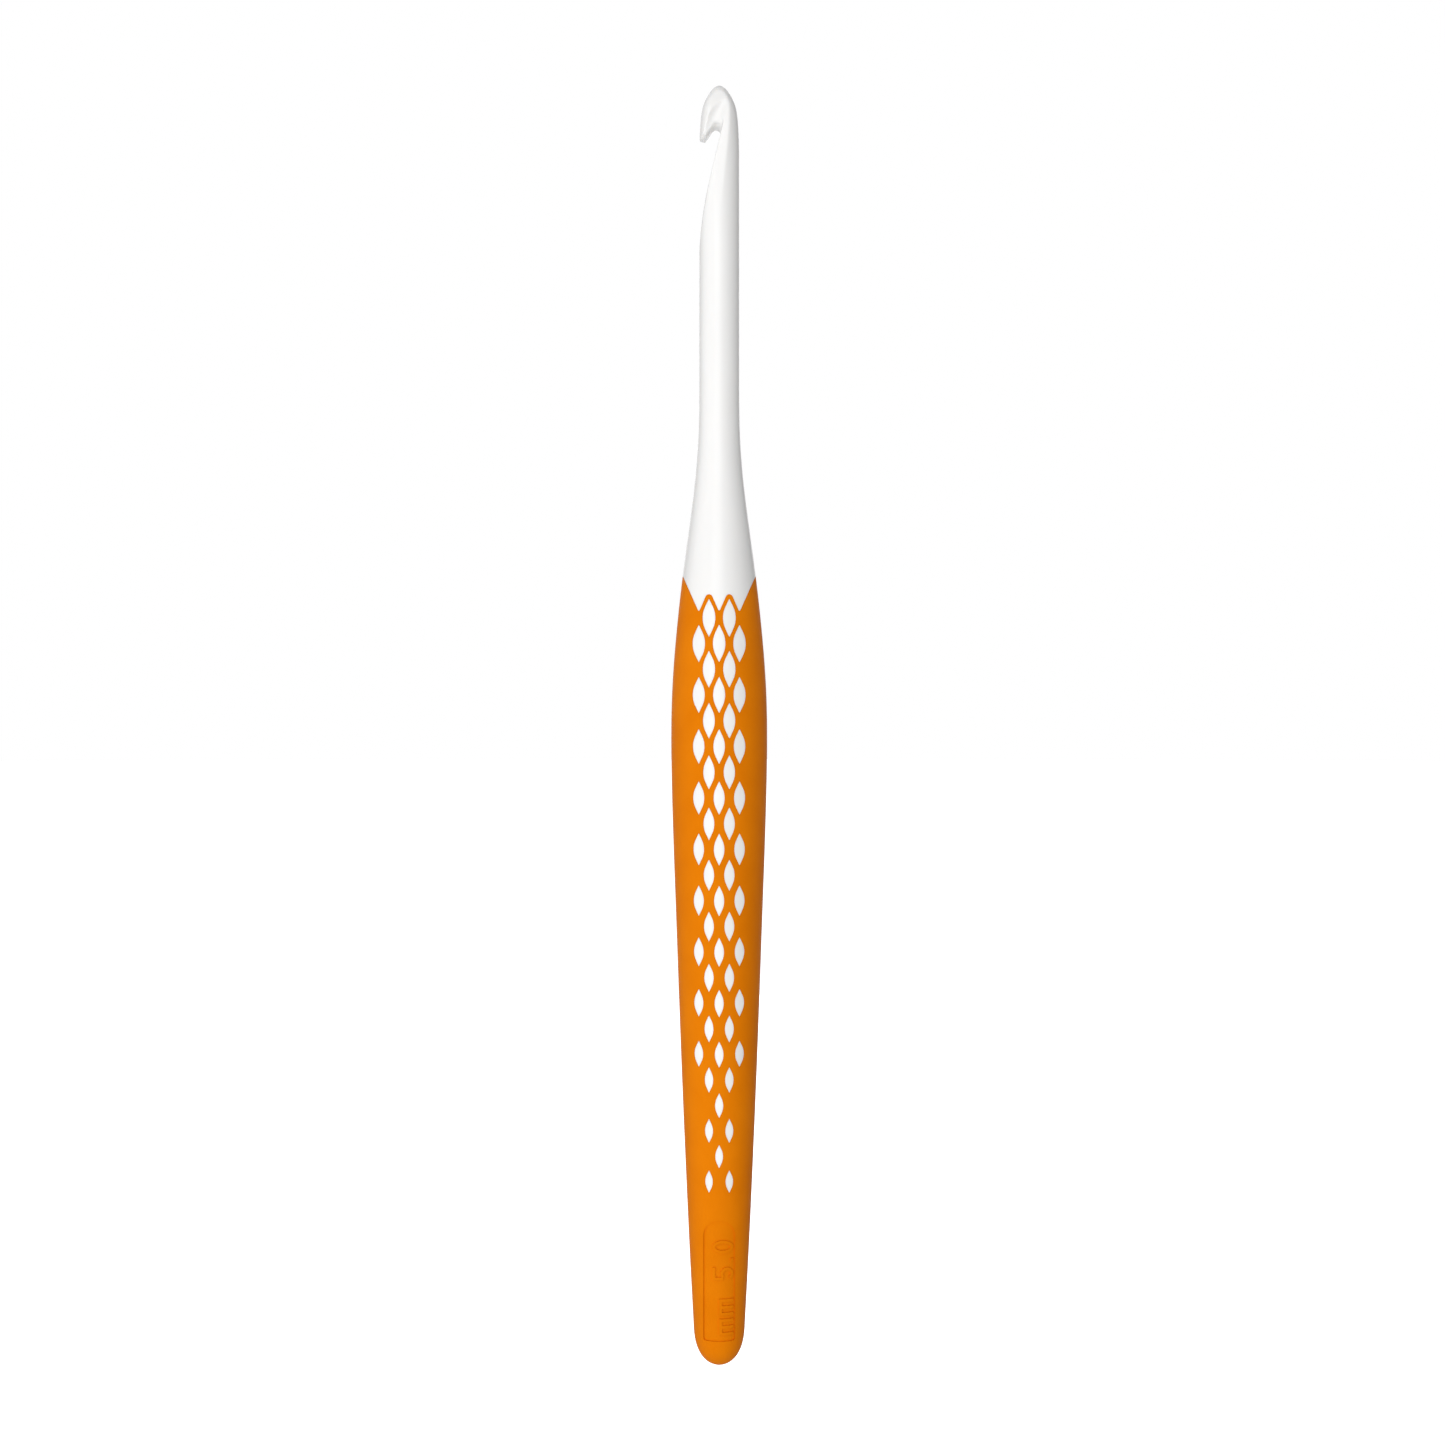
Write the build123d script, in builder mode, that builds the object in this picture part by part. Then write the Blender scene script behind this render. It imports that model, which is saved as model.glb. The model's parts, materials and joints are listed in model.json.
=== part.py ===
"""Crochet hook, 5.0 mm, with a two-shot moulded handle.

The hook stands on its butt: +Z runs up the axis from the butt to the tip, the throat
opens towards -X and the size mark faces -Y.  Units are millimetres.

There are two pieces.  hook_core is the hard moulding: nose, throat, shank, neck, the
core inside the handle and the lozenge-shaped bosses that stand up from that core.
grip_sleeve is the soft shot moulded round the core, flush with the bosses.
"""
import os
from math import atan, cos, radians, sin, tan

from build123d import *

# Overall outline of the hook
length = 160.0  # butt to tip
shank_radius = 2.5  # the hook size is twice this
belly_radius = 6.0  # widest place of the handle
belly_height = 77.7
neck_end = 122.0  # where the neck has come down to the shank
butt_radius = 3.2  # where the rounded butt meets the taper
butt_height = 4.75
taper_lean = 0.052  # widening per millimetre where the taper starts

# Outline points between those places, as (share of the height, share of the width)
butt_rise = [(0.115, 0.485), (0.415, 0.825)]
taper_rise = [(0.087, 0.121), (0.268, 0.346), (0.474, 0.571), (0.705, 0.786), (0.912, 0.966)]
neck_fall = [(0.150, 0.035), (0.319, 0.194), (0.489, 0.435), (0.658, 0.724), (0.785, 0.902), (0.868, 0.970)]

# Nose points, as (depth below the tip, share of the shank's radius)
nose_rise = [(0.47, 0.34), (1.22, 0.555), (1.97, 0.72), (3.09, 0.86), (4.59, 0.94), (6.47, 0.983)]
nose_length = 9.5

# Throat, seen from the front: a lip, a sloping roof, a round end and a long straight ramp
lip_end = (-1.81, 7.13)  # inner corner of the lip, as x and depth below the tip
lip_end_rise = 0.27  # rise of the lip's end face towards the outside
roof_lean = 34.5  # degrees from the axis
throat_round = 0.58  # radius of the throat's closed end
ramp_lean = 13.3  # degrees from the axis
ramp_point = (-0.73, 9.97)  # a point on the ramp, as x and depth below the tip
run_out_depth = 15.0  # where the ramp turns towards the shank's surface
run_out_round = 37.0  # radius of that turn
run_out_lean = 7.0  # degrees from the axis, out to the shank's surface
throat_depth = 22.0  # past where the ramp has left the shank

# Cheeks: the front and back of the head, planed down in a gentle curve
cheek_points = [(20.0, 2.56), (14.0, 2.47), (8.0, 2.27), (5.0, 2.02), (2.6, 1.62), (0.0, 0.95)]

# Groove on each cheek that leads the yarn up out of the throat
groove_radius = 1.3
groove_floor = 1.52  # distance of its floor from the middle plane
groove_point = (-0.72, 4.84)  # x and depth below the tip of a point on its line
groove_lean = 26.6  # degrees from the axis
groove_length = 9.0

# Soft grip
grip_wall = 1.1  # thickness of the soft shot over the core

# Edge of the grip at its top, a zigzag seen from the front
crown_valley = 93.86  # height of the three valleys
crown_pitch = 2.5  # between valleys
crown_slope = 2.294  # rise per millimetre across
crown_round = 0.45  # radius of the two front peaks

# Windows in the grip, in rows that step sideways by half a pitch
window_rows = 23
first_row = 93.14  # height of the top row
row_pitch = 3.155
window_height = (4.75, 2.85)  # top row, bottom row
window_width = (1.57, 0.92)
last_row_of_three = 17
window_fullness = 1.45  # slope of the straight flanks over that of a plain diamond

# Size panel: a shallow recess with raised figures that read upwards from the butt
panel_bottom = 3.75
panel_top = 18.85
panel_width = 3.9
panel_depth = 0.15
panel_corner = 0.35  # radius of the two lower corners
mark_baseline = -1.75  # the figures' baseline, from the axis towards their tops
mark_stroke = 0.36
figure_height = 2.6
figure_width = 1.6
bowl_turn = 285  # degrees round the open bowl of the figure five
letter_height = 1.75
letter_width = 2.05
letter_places = (5.55, 8.05)
five_place = 12.25
point_place = 13.95
nought_place = 15.6

reach = 2 * belly_radius  # half-length of cuts that pass right through


def rising(points, low, high):
    """Places between two (radius, height) corners, from their shares of height and width."""
    return [
        (low[0] + width * (high[0] - low[0]), low[1] + height * (high[1] - low[1]))
        for height, width in points
    ]


def draw_handle(inset):
    """Outline of the handle from the butt up to the shank, moved in by inset."""
    foot = (0, inset)
    butt = (butt_radius - inset, butt_height)
    belly = (belly_radius - inset, belly_height)
    neck = (shank_radius - inset, neck_end)
    lean = (taper_lean, 1)
    Spline(foot, *rising(butt_rise, foot, butt), butt, tangents=[(1, 0), lean])
    taper = rising(taper_rise, butt, belly)
    fall = rising(neck_fall, belly, neck)
    Spline(butt, *taper, belly, *fall, neck, tangents=[lean, (0, 1)])
    return neck


def draw_whole():
    """Closed half outline of the whole hook."""
    neck = draw_handle(0)
    nose_start = (shank_radius, length - nose_length)
    nose = [(share * shank_radius, length - depth) for depth, share in reversed(nose_rise)]
    tip = (0, length)
    Line(neck, nose_start)
    Spline(nose_start, *nose, tip, tangents=[(0, 1), (-1, 0)])
    Line(tip, (0, 0))


def draw_inset_handle(inset):
    """Closed half outline of the handle alone, moved in by inset."""
    neck = draw_handle(inset)
    Line(neck, (0, neck_end))
    Line((0, neck_end), (0, inset))


def throat_corners():
    """Corners of the throat before rounding: four outside the hook and its lip, then its end and its run-out."""
    outside = -2 * shank_radius
    roof = tan(radians(roof_lean))
    ramp = tan(radians(ramp_lean))
    run_out = tan(radians(run_out_lean))
    # where the roof's line meets the ramp's line
    end_depth = (lip_end[0] - ramp_point[0] + roof * lip_end[1] - ramp * ramp_point[1]) / (roof - ramp)
    end = (lip_end[0] + roof * (lip_end[1] - end_depth), end_depth)
    turn = (ramp_point[0] - ramp * (run_out_depth - ramp_point[1]), run_out_depth)
    last = (turn[0] - run_out * (throat_depth - run_out_depth), throat_depth)
    lip_outer = (outside, lip_end[1] - lip_end_rise * (lip_end[0] - outside))
    return [(x, length - depth) for x, depth in (lip_outer, lip_end, end, turn, last, (outside, throat_depth))]


def draw_cheek(side):
    """Closed outline, in y and z, of what is planed off one cheek; side is 1 or -1."""
    edge = [(side * distance, length - depth) for depth, distance in cheek_points]
    far = side * 2 * shank_radius
    Spline(*edge)
    Polyline(edge[-1], (far, edge[-1][1]), (far, edge[0][1]), edge[0])


def draw_crown():
    """Closed outline of everything below the zigzag edge of the grip."""
    flank_top = crown_valley + crown_slope * (reach - crown_pitch)
    peak = crown_valley + crown_slope * crown_pitch / 2
    zigzag = [(-reach, flank_top), (-crown_pitch, crown_valley), (-crown_pitch / 2, peak), (0, crown_valley)]
    mirrored = [(-x, z) for x, z in reversed(zigzag[:-1])]
    Polyline((-reach, -reach), *zigzag, *mirrored, (reach, -reach), close=True)


def draw_window(x, z, width, height):
    """Closed outline of one window: straight flanks to the two tips, round at the sides."""
    slope = window_fullness * width / height
    flank = atan(slope)
    corner = slope * height / 2
    round_radius = (corner - width / 2) / (1 / cos(flank) - 1)
    touch_x = corner - round_radius * tan(flank) * sin(flank)
    touch_z = round_radius * tan(flank) * cos(flank)
    tip = height / 2
    for side in (-1, 1):
        high = (x + side * touch_x, z + touch_z)
        low = (x + side * touch_x, z - touch_z)
        Line((x, z + tip), high)
        ThreePointArc(high, (x + side * width / 2, z), low)
        Line(low, (x, z - tip))


def window_places():
    """Every window as (x, z, width, height), from the top row down."""
    places = []
    for row in range(window_rows):
        share = row / (window_rows - 1)
        width = window_width[0] + share * (window_width[1] - window_width[0])
        height = window_height[0] + share * (window_height[1] - window_height[0])
        if row % 2 == 0:
            across = (-crown_pitch / 2, crown_pitch / 2)
        elif row <= last_row_of_three:
            across = (-crown_pitch, 0, crown_pitch)
        else:
            across = (0,)
        places += [(x, first_row - row * row_pitch, width, height) for x in across]
    return places


# The space that the soft shot fills, before its panel is marked
with BuildPart() as grip_space:
    with BuildSketch(Plane.XZ):
        with BuildLine():
            draw_whole()
        make_face()
    revolve(axis=Axis.Z)
    with BuildSketch(Plane.XZ):
        with BuildLine():
            draw_inset_handle(grip_wall)
        make_face()
    revolve(axis=Axis.Z, mode=Mode.SUBTRACT)
    with BuildSketch(Plane.XZ):
        with BuildLine():
            draw_crown()
        make_face()
        peaks = vertices().filter_by(lambda corner: abs(abs(corner.X) - crown_pitch / 2) < 0.01)
        fillet(peaks, crown_round)
    extrude(amount=reach, both=True, mode=Mode.INTERSECT)
    with BuildSketch(Plane.XZ):
        for window in window_places():
            with BuildLine():
                draw_window(*window)
            make_face()
    extrude(amount=reach, both=True, mode=Mode.SUBTRACT)

# Hard moulding
with BuildPart() as hook_core:
    with BuildSketch(Plane.XZ):
        with BuildLine():
            draw_whole()
        make_face()
    revolve(axis=Axis.Z)
    with BuildSketch(Plane.XZ):
        Polygon(*throat_corners(), align=None)
        fillet(vertices().sort_by_distance(throat_corners()[2])[0], throat_round)
        fillet(vertices().sort_by_distance(throat_corners()[3])[0], run_out_round)
    extrude(amount=reach, both=True, mode=Mode.SUBTRACT)
    for cheek in (-1, 1):
        with BuildSketch(Plane.YZ):
            with BuildLine():
                draw_cheek(cheek)
            make_face()
        extrude(amount=reach, both=True, mode=Mode.SUBTRACT)
    groove_way = (sin(radians(groove_lean)), 0, cos(radians(groove_lean)))
    for cheek in (-1, 1):
        groove_middle = (groove_point[0], cheek * (groove_floor + groove_radius), length - groove_point[1])
        with BuildSketch(Plane(groove_middle, z_dir=groove_way)):
            Circle(groove_radius)
        extrude(amount=groove_length / 2, both=True, mode=Mode.SUBTRACT)
    add(grip_space.part, mode=Mode.SUBTRACT)

# Plane of the size mark: x runs up the hook, y towards -X, and it faces the front
mark_plane = Plane(origin=(0, 0, 0), x_dir=(0, 0, 1), z_dir=(0, -1, 0))

# What is recessed for the size panel, with the figures left standing
with BuildPart() as panel_recess:
    with BuildSketch(Plane.XZ):
        with BuildLine():
            draw_whole()
        make_face()
    revolve(axis=Axis.Z)
    with BuildSketch(Plane.XZ):
        with BuildLine():
            draw_inset_handle(panel_depth)
        make_face()
    revolve(axis=Axis.Z, mode=Mode.SUBTRACT)
    with BuildSketch(mark_plane):
        straight = panel_top - panel_width / 2 - panel_bottom
        with Locations((panel_bottom + straight / 2, 0)):
            Rectangle(straight, panel_width)
        fillet(vertices().group_by(Axis.X)[0], panel_corner)
        with Locations((panel_bottom + straight, 0)):
            Circle(panel_width / 2)
        # the figure nought: an upright ring
        with Locations((nought_place, mark_baseline + figure_height / 2)):
            RectangleRounded(figure_width, figure_height, figure_width * 0.49, mode=Mode.SUBTRACT)
            inner_width = figure_width - 2 * mark_stroke
            inner_height = figure_height - 2 * mark_stroke
            RectangleRounded(inner_width, inner_height, inner_width * 0.49)
        # the point
        with Locations((point_place, mark_baseline + mark_stroke / 2)):
            Rectangle(mark_stroke, mark_stroke, mode=Mode.SUBTRACT)
        # the figure five: a bar, a stem and an open bowl
        bowl = figure_width / 2
        with Locations((five_place, mark_baseline + figure_height - mark_stroke / 2)):
            Rectangle(figure_width, mark_stroke, mode=Mode.SUBTRACT)
        stem = figure_height - bowl
        with Locations((five_place - bowl + mark_stroke / 2, mark_baseline + figure_height - stem / 2)):
            Rectangle(mark_stroke, stem, mode=Mode.SUBTRACT)
        with BuildLine():
            inner_bowl = bowl - mark_stroke
            middle = (five_place, mark_baseline + bowl)
            outer_arc = CenterArc(middle, bowl, -150, bowl_turn)
            inner_arc = CenterArc(middle, inner_bowl, -150, bowl_turn)
            Line(outer_arc @ 0, inner_arc @ 0)
            Line(outer_arc @ 1, inner_arc @ 1)
        make_face(mode=Mode.SUBTRACT)
        # two letters m: three stems under a bar with rounded shoulders
        for place in letter_places:
            with Locations((place, mark_baseline + letter_height / 2)):
                Rectangle(letter_width, letter_height, mode=Mode.SUBTRACT)
            gap = (letter_width - 3 * mark_stroke) / 2
            for side in (-1, 1):
                gap_middle = place + side * (gap + mark_stroke) / 2
                with Locations((gap_middle, mark_baseline + (letter_height - mark_stroke) / 2)):
                    Rectangle(gap, letter_height - mark_stroke)
    extrude(amount=reach, mode=Mode.INTERSECT)

# Soft grip
with BuildPart() as grip_sleeve:
    add(grip_space.part)
    add(panel_recess.part, mode=Mode.SUBTRACT)

hook_core.part.label = "hook_core"
grip_sleeve.part.label = "grip_sleeve"

os.makedirs("parts", exist_ok=True)
export_step(hook_core.part, "parts/hook_core.step")
export_step(grip_sleeve.part, "parts/grip_sleeve.step")
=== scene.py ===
"""Looks for the 5.0 mm crochet hook: a glossy white moulding with a soft orange grip.

The pieces are modelled in millimetres and brought to the frame's metres at the end.
The hook stands upright, +Z from butt to tip, its throat towards -X and its front towards -Y.
"""

import json
import math

import bpy
import numpy as np
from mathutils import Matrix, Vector

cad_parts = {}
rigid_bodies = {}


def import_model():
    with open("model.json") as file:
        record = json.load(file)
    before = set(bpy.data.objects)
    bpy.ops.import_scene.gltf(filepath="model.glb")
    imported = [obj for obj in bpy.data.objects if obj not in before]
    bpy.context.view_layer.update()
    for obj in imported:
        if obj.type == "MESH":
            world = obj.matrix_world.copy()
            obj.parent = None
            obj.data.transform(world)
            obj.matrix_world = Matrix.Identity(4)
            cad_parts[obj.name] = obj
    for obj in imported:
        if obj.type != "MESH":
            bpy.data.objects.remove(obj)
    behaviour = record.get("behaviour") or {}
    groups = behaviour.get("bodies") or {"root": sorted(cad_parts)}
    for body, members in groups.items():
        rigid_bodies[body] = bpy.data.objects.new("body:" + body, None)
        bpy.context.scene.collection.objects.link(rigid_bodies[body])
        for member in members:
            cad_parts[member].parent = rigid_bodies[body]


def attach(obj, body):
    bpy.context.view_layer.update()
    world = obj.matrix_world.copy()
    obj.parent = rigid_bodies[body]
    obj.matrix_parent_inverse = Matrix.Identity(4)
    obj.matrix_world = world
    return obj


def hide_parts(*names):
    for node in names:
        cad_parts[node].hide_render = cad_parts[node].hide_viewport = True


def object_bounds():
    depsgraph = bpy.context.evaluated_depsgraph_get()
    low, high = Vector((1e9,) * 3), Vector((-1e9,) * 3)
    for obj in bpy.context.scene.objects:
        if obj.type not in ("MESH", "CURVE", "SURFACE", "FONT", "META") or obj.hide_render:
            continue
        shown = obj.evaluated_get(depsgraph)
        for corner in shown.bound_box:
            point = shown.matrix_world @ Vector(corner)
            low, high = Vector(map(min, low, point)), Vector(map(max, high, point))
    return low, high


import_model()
for name in ("Cube", "Light", "Camera"):
    if name in bpy.data.objects:
        bpy.data.objects.remove(bpy.data.objects[name])
cad_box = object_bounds()

MM = 0.001

# ---------------------------------------------------------------- sizes, in millimetres
length = cad_box[1].z / MM
belly_radius = cad_box[1].x / MM
shank_radius = 2.5
belly_height = 77.7
neck_end = 122.0
butt_radius = 3.2
butt_height = 4.75
taper_lean = 0.052
butt_rise = [(0.115, 0.485), (0.415, 0.825)]
taper_rise = [(0.087, 0.121), (0.268, 0.346), (0.474, 0.571), (0.705, 0.786), (0.912, 0.966)]
neck_fall = [(0.150, 0.035), (0.319, 0.194), (0.489, 0.435), (0.658, 0.724), (0.785, 0.902), (0.868, 0.970)]
nose_rise = [(0.47, 0.34), (1.22, 0.555), (1.97, 0.72), (3.09, 0.86), (4.59, 0.94), (6.47, 0.983)]
nose_length = 9.5

lip_end = (-1.81, 7.13)
lip_end_rise = 0.27
roof_lean = 34.5
throat_round = 0.58
ramp_lean = 13.3
ramp_point = (-0.73, 9.97)
run_out_depth = 15.0
run_out_round = 37.0
run_out_end = (-2.47, 19.4)
run_out_end_lean = 1.2
throat_depth = 24.0
flare_slant = 0.3  # sideways shift of each flare for its rise
throat_flare = [(0.2, 0.04), (0.5, 0.14), (0.8, 0.3), (1.1, 0.52), (1.4, 0.8), (1.65, 1.15)]
cheek_points = [(20.0, 2.56), (14.0, 2.47), (8.0, 2.27), (5.0, 2.02), (2.6, 1.62), (0.0, 0.95)]
groove_radius = 1.3
groove_floor = 1.52
groove_point = (-0.72, 4.84)
groove_lean = 26.6
groove_length = 9.0

grip_wall = 1.1
proud = 0.5  # how far shell tools stand off the surface
crown_valley = 93.86
crown_pitch = 2.5
crown_slope = 2.294
crown_round = 0.45
valley_round = 0.12
crown_top = 99.6
window_rows = 23
first_row = 93.14
row_pitch = 3.155
window_height = (4.75, 2.85)
window_width = (1.57, 0.92)
last_row_of_three = 17
window_fullness = 1.45
tip_round = 0.04
seam_width = 0.035
seam_depth = 0.07

panel_bottom = 3.75
panel_top = 18.85
panel_width = 3.9
panel_depth = 0.15
panel_corner = 0.35
panel_flat = 0.05  # left between the two round corners at its top
mark_baseline = -1.75
mark_stroke = 0.36
figure_height = 2.6
figure_width = 1.6
bowl_start = -150
bowl_turn = 285
stem_share = 1.55  # of the bowl's radius that the stem of the five stays above the foot
closed_turn = 359.9  # a ring that almost meets itself
letter_height = 1.75
letter_width = 2.05
letter_places = (5.55, 8.05)
five_place = 12.25
point_place = 13.95
nought_place = 15.6

reach = 2 * belly_radius
turn_steps = 128
head_cut = 134.0  # the finely remeshed head starts here
head_overlap = 0.6
head_voxel = 0.105
head_smoothing = 9
sharp_angle = math.radians(35)


# ---------------------------------------------------------------- outlines
def smooth_line(points, start_way, end_way, spacing):
    """Points along a smooth curve through the given ones, with its first and last directions."""
    knots = np.array(points, float)
    spans = np.linalg.norm(np.diff(knots, axis=0), axis=1)
    count = len(knots)
    matrix, right = np.eye(count), np.zeros((count, 2))
    right[0] = np.array(start_way) / np.linalg.norm(start_way)
    right[-1] = np.array(end_way) / np.linalg.norm(end_way)
    for i in range(1, count - 1):
        before, after = 1 / spans[i - 1], 1 / spans[i]
        matrix[i, i - 1 : i + 2] = before, 2 * (before + after), after
        right[i] = 3 * ((knots[i] - knots[i - 1]) * before**2 + (knots[i + 1] - knots[i]) * after**2)
    ways = np.linalg.solve(matrix, right)
    line = []
    for i, span in enumerate(spans):
        steps = max(2, math.ceil(span / spacing))
        for step in range(steps):
            t = step / steps
            line.append(
                (2 * t**3 - 3 * t**2 + 1) * knots[i]
                + (t**3 - 2 * t**2 + t) * span * ways[i]
                + (3 * t**2 - 2 * t**3) * knots[i + 1]
                + (t**3 - t**2) * span * ways[i + 1]
            )
    line.append(knots[-1])
    return [(float(x), float(z)) for x, z in line]


def rising(points, low, high):
    """Places between two (radius, height) corners, from their shares of height and width."""
    return [
        (low[0] + width * (high[0] - low[0]), low[1] + height * (high[1] - low[1]))
        for height, width in points
    ]


def handle_line(inset, spacing=1.0):
    """Outline of the handle from the butt up to the shank, moved in by inset."""
    foot = (0, inset)
    butt = (butt_radius - inset, butt_height)
    belly = (belly_radius - inset, belly_height)
    neck = (shank_radius - inset, neck_end)
    lean = (taper_lean, 1)
    dome = smooth_line([foot, *rising(butt_rise, foot, butt), butt], (1, 0), lean, spacing / 4)
    side = [butt, *rising(taper_rise, butt, belly), belly, *rising(neck_fall, belly, neck), neck]
    return dome[:-1] + smooth_line(side, lean, (0, 1), spacing)


def nose_line(spacing=0.35):
    """Outline of the nose, from the shank up to the tip."""
    start = (shank_radius, length - nose_length)
    rise = [(share * shank_radius, length - depth) for depth, share in reversed(nose_rise)]
    return smooth_line([start, *rise, (0, length)], (0, 1), (-1, 0), spacing)


def rounded(corners, radii, steps=8):
    """A closed outline with each corner turned into an arc of its own radius."""
    line = []
    count = len(corners)
    for i, radius in enumerate(radii):
        corner = Vector(corners[i])
        before = (Vector(corners[i - 1]) - corner).normalized()
        after = (Vector(corners[(i + 1) % count]) - corner).normalized()
        if not radius:
            line.append(tuple(corner))
            continue
        half = before.angle(after) / 2
        middle = corner + (before + after).normalized() * radius / math.sin(half)
        start = corner + before * radius / math.tan(half) - middle
        end = corner + after * radius / math.tan(half) - middle
        for step in range(steps + 1):
            line.append(tuple(middle + radius * start.slerp(end, step / steps)))
    return line


# ---------------------------------------------------------------- modelling steps
def deselect():
    for obj in bpy.context.view_layer.objects:
        obj.select_set(False)


def activate(obj):
    deselect()
    obj.select_set(True)
    bpy.context.view_layer.objects.active = obj


def edit(obj):
    activate(obj)
    bpy.ops.object.mode_set(mode="EDIT")
    bpy.ops.mesh.select_all(action="SELECT")


def done():
    bpy.ops.object.mode_set(mode="OBJECT")


def drawn(name, points):
    """A chain of edges drawn by extruding one vertex from point to point."""
    deselect()
    bpy.ops.mesh.primitive_plane_add(size=1)
    obj = bpy.context.object
    obj.name = name
    bpy.ops.object.mode_set(mode="EDIT")
    bpy.ops.mesh.merge(type="CENTER")
    here = Vector(points[0])
    bpy.ops.transform.translate(value=here)
    for point in points[1:]:
        move = Vector(point) - here
        bpy.ops.mesh.extrude_region_move(TRANSFORM_OT_translate={"value": move})
        here = Vector(point)
    done()
    return obj


def clean(obj, threshold=0.0005):
    edit(obj)
    bpy.ops.mesh.remove_doubles(threshold=threshold)
    bpy.ops.mesh.normals_make_consistent(inside=False)
    done()
    return obj


def turned(name, outline):
    """A solid turned on the axis from a half outline of (radius, height) points."""
    obj = drawn(name, [(radius, 0, height) for radius, height in outline])
    edit(obj)
    bpy.ops.mesh.spin(steps=turn_steps, angle=2 * math.pi, center=(0, 0, 0), axis=(0, 0, 1))
    done()
    return clean(obj)


def prism(name, outline, low, high):
    """A prism from an outline seen from the front, between two places along y."""
    obj = drawn(name, [(x, low, z) for x, z in outline])
    edit(obj)
    bpy.ops.mesh.edge_face_add()
    bpy.ops.mesh.extrude_region_move(TRANSFORM_OT_translate={"value": (0, high - low, 0)})
    done()
    return clean(obj)


def joined(name, objects):
    deselect()
    for obj in objects:
        obj.select_set(True)
    bpy.context.view_layer.objects.active = objects[0]
    bpy.ops.object.join()
    objects[0].name = name
    return objects[0]


def copied(obj, name):
    """A copy with its own mesh."""
    activate(obj)
    bpy.ops.object.duplicate()
    bpy.context.object.name = name
    return bpy.context.object


def apply(obj, kind, **settings):
    activate(obj)
    modifier = obj.modifiers.new(kind.lower(), kind)
    for key, value in settings.items():
        setattr(modifier, key, value)
    bpy.ops.object.modifier_apply(modifier=modifier.name)
    return obj


def cut(obj, tool, operation="DIFFERENCE", keep=False):
    apply(obj, "BOOLEAN", object=tool, operation=operation, solver="MANIFOLD")
    if not keep:
        bpy.data.objects.remove(tool)
    return obj


# ---------------------------------------------------------------- windows and crown
def window_outline(width, height):
    """One window about its own middle: straight flanks to the tips, round at the sides."""
    wide = window_fullness * width / 2
    flank = math.atan(2 * wide / height)
    side_round = (wide - width / 2) / (1 / math.cos(flank) - 1)
    corners = [(0, height / 2), (wide, 0), (0, -height / 2), (-wide, 0)]
    return rounded(corners, [tip_round, side_round, tip_round, side_round], steps=7)


def window_places():
    """Every window as (x, z, width, height), from the top row down."""
    places = []
    for row in range(window_rows):
        share = row / (window_rows - 1)
        width = window_width[0] + share * (window_width[1] - window_width[0])
        height = window_height[0] + share * (window_height[1] - window_height[0])
        if row % 2 == 0:
            across = (-crown_pitch / 2, crown_pitch / 2)
        elif row <= last_row_of_three:
            across = (-crown_pitch, 0, crown_pitch)
        else:
            across = (0,)
        places += [(x, first_row - row * row_pitch, width, height) for x in across]
    return places


def window_tools():
    """Prisms that cut every window right through, front and back."""
    tools = []
    for x, z, width, height in window_places():
        outline = [(x + a, z + b) for a, b in window_outline(width, height)]
        tools.append(prism("window", outline, -reach, reach))
    return joined("window_tools", tools)


def crown_line(side_reach):
    """The zigzag edge from left to right, out to side_reach each way."""
    flank = crown_valley + crown_slope * (side_reach - crown_pitch)
    peak = crown_valley + crown_slope * crown_pitch / 2
    half = crown_pitch / 2
    corners = [(-side_reach, flank), (-crown_pitch, crown_valley), (-half, peak), (0, crown_valley),
               (half, peak), (crown_pitch, crown_valley), (side_reach, flank)]
    radii = [0, valley_round, crown_round, valley_round, crown_round, valley_round, 0]
    return rounded(corners, radii, steps=6)


def shell_tool(name, depth, top):
    """Everything from depth under the handle's surface outwards, up to a height."""
    under = [point for point in handle_line(depth) if point[1] < top]
    over = [point for point in handle_line(-proud) if point[1] < top]
    return turned(name, under + over[::-1])


def seam_tool():
    """Hairline grooves round every window and along the crown, where the two shots meet."""
    wide, narrow = [], []
    for x, z, width, height in window_places():
        tip = seam_width / math.sin(math.atan(window_fullness * width / height))
        for tools, way in ((wide, 1), (narrow, -1)):
            outline = window_outline(width + way * seam_width, height + way * tip)
            tools.append(prism("seam", [(x + a, z + b) for a, b in outline], -reach, reach))
    shell = shell_tool("seam_shell", seam_depth, crown_top)
    tool = cut(joined("seam_tool", wide), joined("seam_inner", narrow))
    cut(tool, shell, "INTERSECT", keep=True)
    zigzag = crown_line(reach)
    band = [(x, z - seam_width) for x, z in zigzag] + [(x, z + seam_width) for x, z in reversed(zigzag)]
    crown_seam = prism("crown_seam", band, -reach, reach)
    cut(crown_seam, shell, "INTERSECT")
    return cut(tool, crown_seam, "UNION")


# ---------------------------------------------------------------- size panel
def sign(name, corners):
    """A raised figure from its corners, each up the handle and then across it towards the throat."""
    return prism(name, [(-across, up) for up, across in corners], -reach, 0)


def ring(middle, outside, inside, start, turn, steps=28):
    """Corners of a bent stroke: an outer arc, then the inner one back."""
    angles = [math.radians(start + turn * step / steps) for step in range(steps + 1)]
    outer, inner = (
        [(middle[0] + size[0] * math.cos(angle), middle[1] + size[1] * math.sin(angle)) for angle in angles]
        for size in (outside, inside)
    )
    return outer + inner[::-1]


def block(u, v, width, height):
    """Corners of a stroke that is a plain block about its middle."""
    return [(u - width / 2, v - height / 2), (u + width / 2, v - height / 2),
            (u + width / 2, v + height / 2), (u - width / 2, v + height / 2)]


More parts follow.
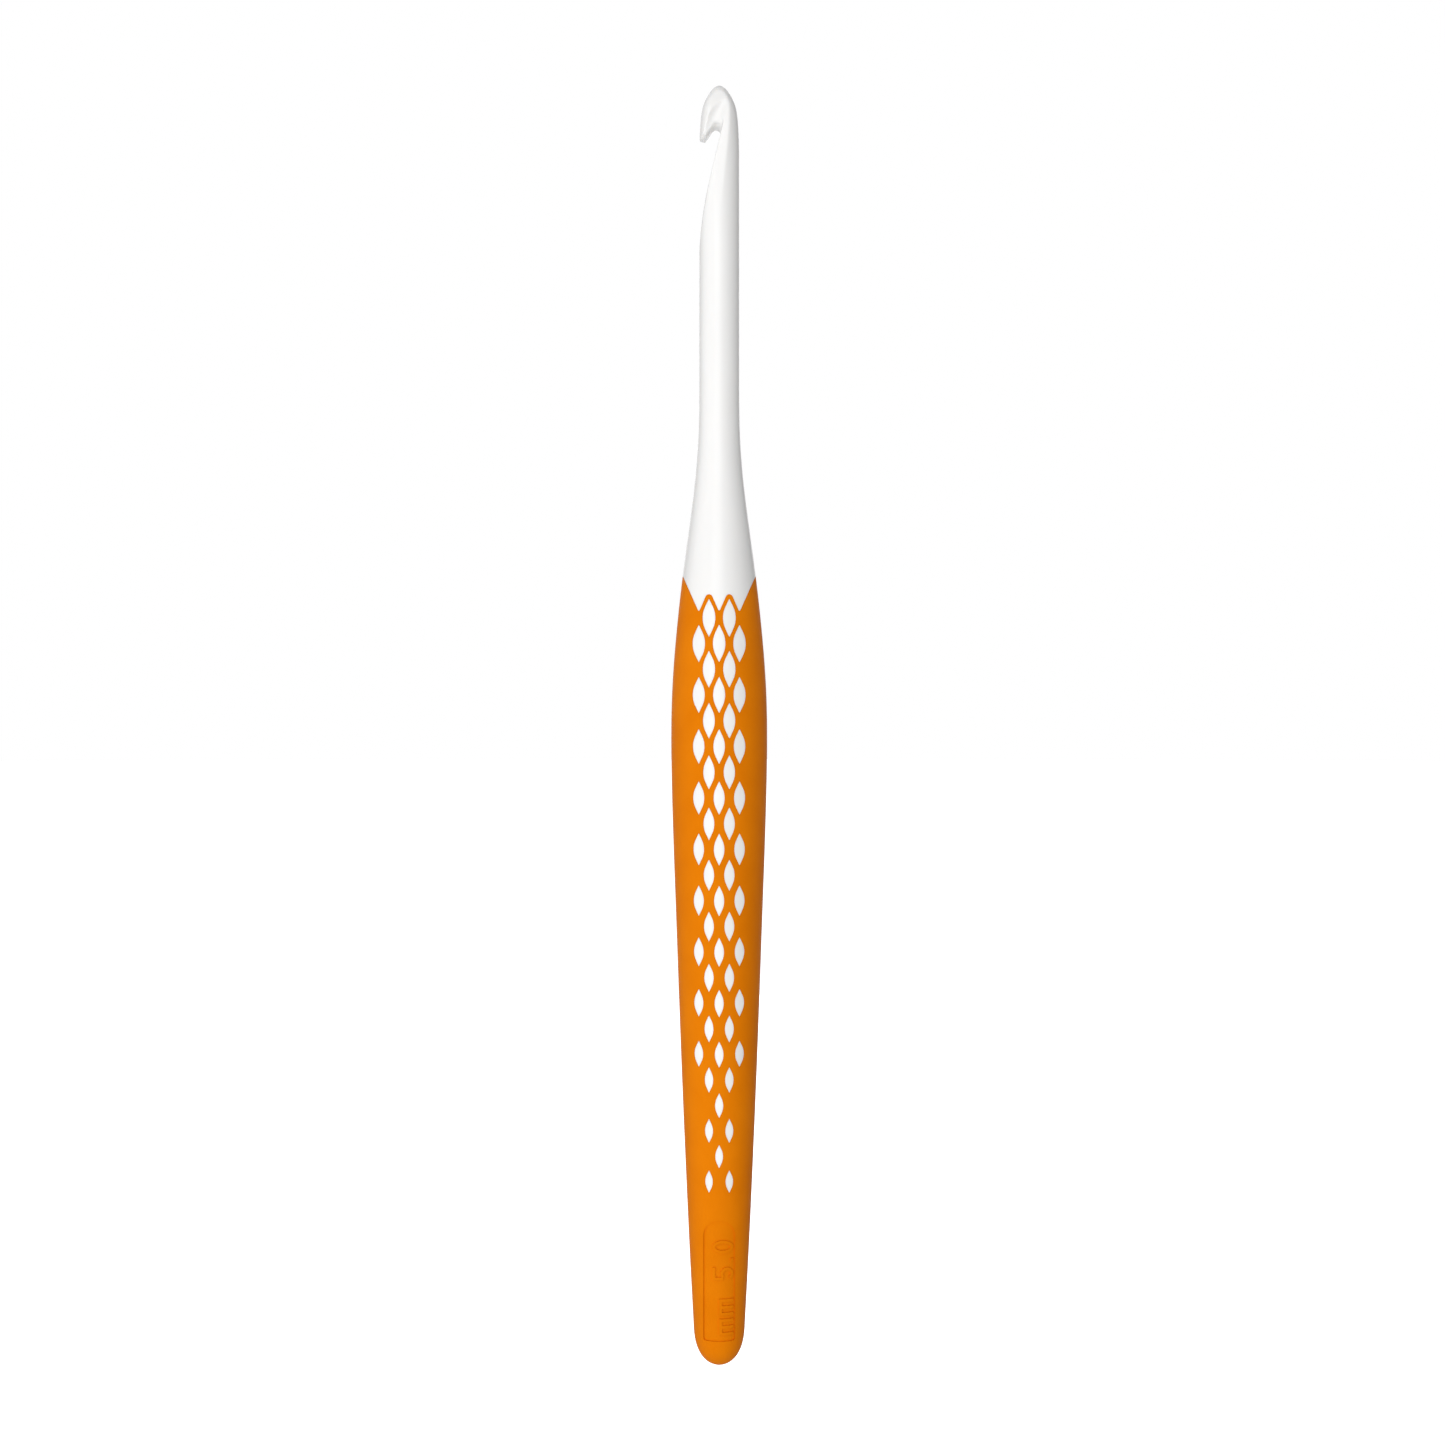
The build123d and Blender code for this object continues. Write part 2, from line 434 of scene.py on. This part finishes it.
def size_mark():
    """The size, 5.0 mm, as strokes that stand up in the panel and read upwards from the butt."""
    half = figure_width / 2
    top = mark_baseline + figure_height
    stroke = mark_stroke
    strokes = []
    tall = (half, figure_height / 2)
    hollow = (half - stroke, figure_height / 2 - stroke)
    strokes.append(ring((nought_place, mark_baseline + tall[1]), tall, hollow, 0, closed_turn))
    strokes.append(block(point_place, mark_baseline + stroke / 2, stroke, stroke))
    strokes.append(block(five_place, top - stroke / 2, figure_width, stroke))
    stem = figure_height - stem_share * half
    strokes.append(block(five_place - half + stroke / 2, top - stem / 2, stroke, stem))
    bowl = (half - stroke, half - stroke)
    strokes.append(ring((five_place, mark_baseline + half), (half, half), bowl, bowl_start, bowl_turn))
    for place in letter_places:
        legs = [place + side * (letter_width - stroke) / 2 for side in (-1, 0, 1)]
        strokes += [block(leg, mark_baseline + letter_height / 2, stroke, letter_height) for leg in legs]
        strokes.append(block(place, mark_baseline + letter_height - stroke / 2, letter_width, stroke))
    mark = sign("mark", strokes[0])
    for corners in strokes[1:]:
        cut(mark, sign("stroke", corners), "UNION")
    return mark


def panel_tool():
    """What is recessed for the size panel, with the figures left standing."""
    half = panel_width / 2
    corners = [(-half, panel_bottom), (half, panel_bottom), (half, panel_top), (-half, panel_top)]
    top_corner = half - panel_flat
    outline = rounded(corners, [panel_corner, panel_corner, top_corner, top_corner], steps=14)
    tool = prism("panel_tool", outline, -reach, 0)
    cut(tool, size_mark())
    return cut(tool, shell_tool("panel_shell", panel_depth, panel_top + 2), "INTERSECT")


# ---------------------------------------------------------------- the throat
def throat_outline():
    """The throat seen from the front, with its end and its run-out rounded."""
    outside = -2 * shank_radius
    roof, ramp, run_out = (math.tan(math.radians(lean)) for lean in (roof_lean, ramp_lean, run_out_end_lean))
    end_depth = (lip_end[0] - ramp_point[0] + roof * lip_end[1] - ramp * ramp_point[1]) / (roof - ramp)
    end = (lip_end[0] + roof * (lip_end[1] - end_depth), end_depth)
    turn = (ramp_point[0] - ramp * (run_out_depth - ramp_point[1]), run_out_depth)
    last = (run_out_end[0] - run_out * (throat_depth - run_out_end[1]), throat_depth)
    lip_outer = (outside, lip_end[1] - lip_end_rise * (lip_end[0] - outside))
    places = (lip_outer, lip_end, end, turn, run_out_end, last, (outside, throat_depth))
    corners = [(x, length - depth) for x, depth in places]
    return rounded(corners, [0, 0, throat_round, run_out_round, run_out_round, 0, 0], steps=14)


def cheek_tool(side):
    """What is planed off one cheek of the throat; side is 1 or -1."""
    edge = [(side * distance, length - depth) for depth, distance in cheek_points]
    first, last = Vector(edge[1]) - Vector(edge[0]), Vector(edge[-1]) - Vector(edge[-2])
    line = smooth_line(edge, first, last, 0.4)
    far = side * 2 * shank_radius
    line += [(far, edge[-1][1] + 1), (far, edge[0][1])]
    obj = drawn("cheek_tool", [(-reach, y, z) for y, z in line])
    edit(obj)
    bpy.ops.mesh.edge_face_add()
    bpy.ops.mesh.extrude_region_move(TRANSFORM_OT_translate={"value": (2 * reach, 0, 0)})
    done()
    return clean(obj)


def groove_tool(side):
    """A round bar that presses the yarn groove into one cheek."""
    deselect()
    bpy.ops.mesh.primitive_cylinder_add(vertices=96, radius=groove_radius, depth=groove_length)
    obj = bpy.context.object
    obj.name = "groove_tool"
    edit(obj)
    bpy.ops.transform.rotate(value=math.radians(-groove_lean), orient_axis="Y", center_override=(0, 0, 0))
    middle = (groove_point[0], side * (groove_floor + groove_radius), length - groove_point[1])
    bpy.ops.transform.translate(value=middle)
    done()
    return clean(obj)


def head():
    """The end of the hook from the shank up, with every edge softened as moulded plastic is."""
    foot = head_cut - head_overlap
    outline = [(0, foot), (shank_radius, foot)] + nose_line()
    obj = turned("head", outline)
    cut(obj, prism("throat_tool", throat_outline(), -reach, reach))
    for distance, rise in throat_flare:
        flared = [(x + rise * flare_slant, z + rise) for x, z in throat_outline()]
        cut(obj, prism("flare_tool", flared, -reach, -distance))
        cut(obj, prism("flare_tool", flared, distance, reach))
    for side in (-1, 1):
        cut(obj, cheek_tool(side))
        cut(obj, groove_tool(side))
    apply(obj, "REMESH", mode="VOXEL", voxel_size=head_voxel)
    apply(obj, "SMOOTH", factor=0.5, iterations=head_smoothing)
    return obj


# ---------------------------------------------------------------- the pieces
whole_handle = turned("whole_handle", handle_line(0.0) + [(shank_radius, head_cut), (0, head_cut)])
room = shell_tool("grip_room", grip_wall, crown_top)
below_crown = crown_line(reach) + [(reach, -reach), (-reach, -reach)]
cut(room, prism("crown_tool", below_crown, -reach, reach), "INTERSECT")
cut(room, window_tools())

soft_grip = copied(whole_handle, "soft_grip")
cut(soft_grip, room, "INTERSECT", keep=True)
hook_body = whole_handle
hook_body.name = "hook_body"
cut(hook_body, room)
seam = seam_tool()
cut(soft_grip, seam, keep=True)
cut(hook_body, seam)
cut(soft_grip, panel_tool())
cut(hook_body, head(), "UNION")


def to_frame(obj):
    """Brings a finished piece from millimetres to the frame's metres."""
    edit(obj)
    bpy.ops.transform.resize(value=(MM, MM, MM), center_override=(0, 0, 0))
    done()
    activate(obj)
    bpy.ops.object.shade_smooth_by_angle(angle=sharp_angle)
    return obj


# ---------------------------------------------------------------- materials
class Nodes:
    """Short names for the few node kinds that both plastics use."""

    def __init__(self, name):
        self.material = bpy.data.materials.new(name)
        self.material.use_nodes = True
        self.tree = self.material.node_tree
        self.shader = self.tree.nodes["Principled BSDF"]
        self.place = self.add("ShaderNodeTexCoord").outputs["Object"]

    def add(self, kind, **settings):
        node = self.tree.nodes.new(kind)
        for key, value in settings.items():
            setattr(node, key, value)
        return node

    def link(self, source, target):
        self.tree.links.new(source, target)

    def noise(self, scale, detail, stretch=(1, 1, 1)):
        """Noise on the piece's own place, scale in features per metre."""
        mapping = self.add("ShaderNodeMapping")
        mapping.inputs["Scale"].default_value = stretch
        self.link(self.place, mapping.inputs["Vector"])
        noise = self.add("ShaderNodeTexNoise")
        noise.inputs["Scale"].default_value = scale
        noise.inputs["Detail"].default_value = detail
        self.link(mapping.outputs["Vector"], noise.inputs["Vector"])
        return noise.outputs["Fac"]

    def spread(self, source, low, high):
        """Source's middle half stretched to between two values."""
        node = self.add("ShaderNodeMapRange")
        node.inputs["From Min"].default_value = 0.25
        node.inputs["From Max"].default_value = 0.75
        node.inputs["To Min"].default_value = low
        node.inputs["To Max"].default_value = high
        self.link(source, node.inputs["Value"])
        return node.outputs["Result"]

    def colours(self, source, low, high):
        """A colour between two, by source."""
        ramp = self.add("ShaderNodeValToRGB")
        ramp.color_ramp.elements[0].position = 0.3
        ramp.color_ramp.elements[0].color = (*low, 1)
        ramp.color_ramp.elements[1].position = 0.7
        ramp.color_ramp.elements[1].color = (*high, 1)
        self.link(source, ramp.inputs["Fac"])
        return ramp.outputs["Color"]

    def bump(self, height, distance, strength, under=None):
        """A surface raised by height, over another bump if one is given."""
        node = self.add("ShaderNodeBump")
        node.inputs["Distance"].default_value = distance
        node.inputs["Strength"].default_value = strength
        self.link(height, node.inputs["Height"])
        if under:
            self.link(under, node.inputs["Normal"])
        return node.outputs["Normal"]


def hard_white():
    """Glossy moulded plastic: faint flow marks along the hook and a polished skin with slight wear."""
    nodes = Nodes("hard_white")
    shader = nodes.shader
    flow = nodes.noise(260, 3, stretch=(1, 1, 0.18))
    nodes.link(nodes.colours(flow, (0.872, 0.866, 0.856), (0.9, 0.895, 0.885)), shader.inputs["Base Color"])
    wear = nodes.noise(900, 5)
    nodes.link(nodes.spread(wear, 0.16, 0.26), shader.inputs["Roughness"])
    shader.inputs["IOR"].default_value = 1.5
    shader.inputs["Subsurface Weight"].default_value = 0.12
    shader.inputs["Subsurface Radius"].default_value = (1.0, 0.9, 0.8)
    shader.inputs["Subsurface Scale"].default_value = 0.0008
    ripple = nodes.bump(flow, 0.00002, 0.25)
    nodes.link(nodes.bump(nodes.noise(7000, 2), 0.000004, 0.2, under=ripple), shader.inputs["Normal"])
    return nodes.material


def soft_orange():
    """Soft-touch rubber: a fine spark-eroded grain, satin, with slight handling marks."""
    nodes = Nodes("soft_orange")
    shader = nodes.shader
    cloud = nodes.noise(180, 4)
    orange = nodes.colours(cloud, (0.735, 0.186, 0.0012), (0.79, 0.212, 0.0022))
    nodes.link(orange, shader.inputs["Base Color"])
    nodes.link(nodes.spread(nodes.noise(700, 5), 0.44, 0.56), shader.inputs["Roughness"])
    shader.inputs["Specular IOR Level"].default_value = 0.05
    shader.inputs["Specular Tint"].default_value = (1.0, 0.5, 0.12, 1)
    soft = nodes.bump(nodes.noise(1500, 2), 0.00003, 0.2)
    nodes.link(nodes.bump(nodes.noise(9000, 3), 0.000012, 0.5, under=soft), shader.inputs["Normal"])
    return nodes.material


def finish(obj, material):
    obj.data.materials.clear()
    obj.data.materials.append(material)


# ---------------------------------------------------------------- camera, lights
def camera():
    """Level, straight in front, a little right of the axis."""
    cam_data = bpy.data.cameras.new("camera")
    cam = bpy.data.objects.new("camera", cam_data)
    bpy.context.scene.collection.objects.link(cam)
    cam_data.lens = 50
    cam_data.sensor_width = 36
    cam_data.clip_start = 0.01
    cam.location = (0.00041, -0.2512, 0.0803)
    cam.rotation_euler = (math.radians(90), 0, 0)
    bpy.context.scene.camera = cam


def softbox(name, start, end, radiance, distance=0.6, height=1.2):
    """An upright softbox from start to end degrees round the hook, 0 at the camera, + to the right."""
    turn = math.radians((start + end) / 2)
    data = bpy.data.lights.new(name, "AREA")
    data.shape = "RECTANGLE"
    data.size = 2 * distance * math.tan(math.radians(end - start) / 2)
    data.size_y = height
    data.energy = radiance * math.pi * data.size * data.size_y
    light = bpy.data.objects.new(name, data)
    light.location = (distance * math.sin(turn), -distance * math.cos(turn), frame_middle)
    light.rotation_euler = (math.radians(90), 0, turn)
    light.visible_camera = False
    bpy.context.scene.collection.objects.link(light)


def studio():
    """A white room: soft boxes from the left to the front, a dim fill all round, and a white floor."""
    for name, start, end, radiance in soft_boxes:
        softbox(name, start, end, radiance)
    world = bpy.data.worlds.new("world")
    bpy.context.scene.world = world
    world.use_nodes = True
    tree = world.node_tree
    fill = tree.nodes["Background"]
    fill.inputs["Color"].default_value = (fill_radiance, fill_radiance, fill_radiance, 1)
    seen = tree.nodes.new("ShaderNodeBackground")
    seen.inputs["Color"].default_value = (1, 1, 1, 1)
    ray = tree.nodes.new("ShaderNodeLightPath")
    mix = tree.nodes.new("ShaderNodeMixShader")
    tree.links.new(ray.outputs["Is Camera Ray"], mix.inputs["Fac"])
    tree.links.new(fill.outputs["Background"], mix.inputs[1])
    tree.links.new(seen.outputs["Background"], mix.inputs[2])
    tree.links.new(mix.outputs["Shader"], tree.nodes["World Output"].inputs["Surface"])
    bpy.context.scene.view_settings.view_transform = "Standard"

    deselect()
    bpy.ops.mesh.primitive_circle_add(vertices=64, radius=6, fill_type="NGON", location=(0, 0, floor_height))
    floor = bpy.context.object
    floor.name = "floor"
    paper = bpy.data.materials.new("floor_paper")
    paper.use_nodes = True
    shader = paper.node_tree.nodes["Principled BSDF"]
    shader.inputs["Base Color"].default_value = (0.9, 0.9, 0.9, 1)
    shader.inputs["Emission Color"].default_value = (1, 1, 1, 1)
    shader.inputs["Emission Strength"].default_value = 1.0
    floor.data.materials.append(paper)
    floor.visible_diffuse = False
    floor.visible_glossy = False
    floor.visible_transmission = False
    floor.visible_shadow = False


# sizes of the studio, in metres, degrees and relative brightness
frame_middle = (cad_box[0].z + cad_box[1].z) / 2
floor_height = -0.035
soft_boxes = [("left_box", -100, -63, 0.45), ("key_box", -63, -26, 0.75), ("front_box", -26, 11, 1.9),
              ("right_box", 11, 40, 0.27), ("back_box", 152, 208, 0.7)]
fill_radiance = 0.35

camera()
studio()
for obj, node, slot, material in (
    (hook_body, "hook_core", "hard_plastic", hard_white()),
    (soft_grip, "grip_sleeve", "soft_grip", soft_orange()),
):
    to_frame(obj)
    finish(obj, material)
    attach(obj, "root")
    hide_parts(node)
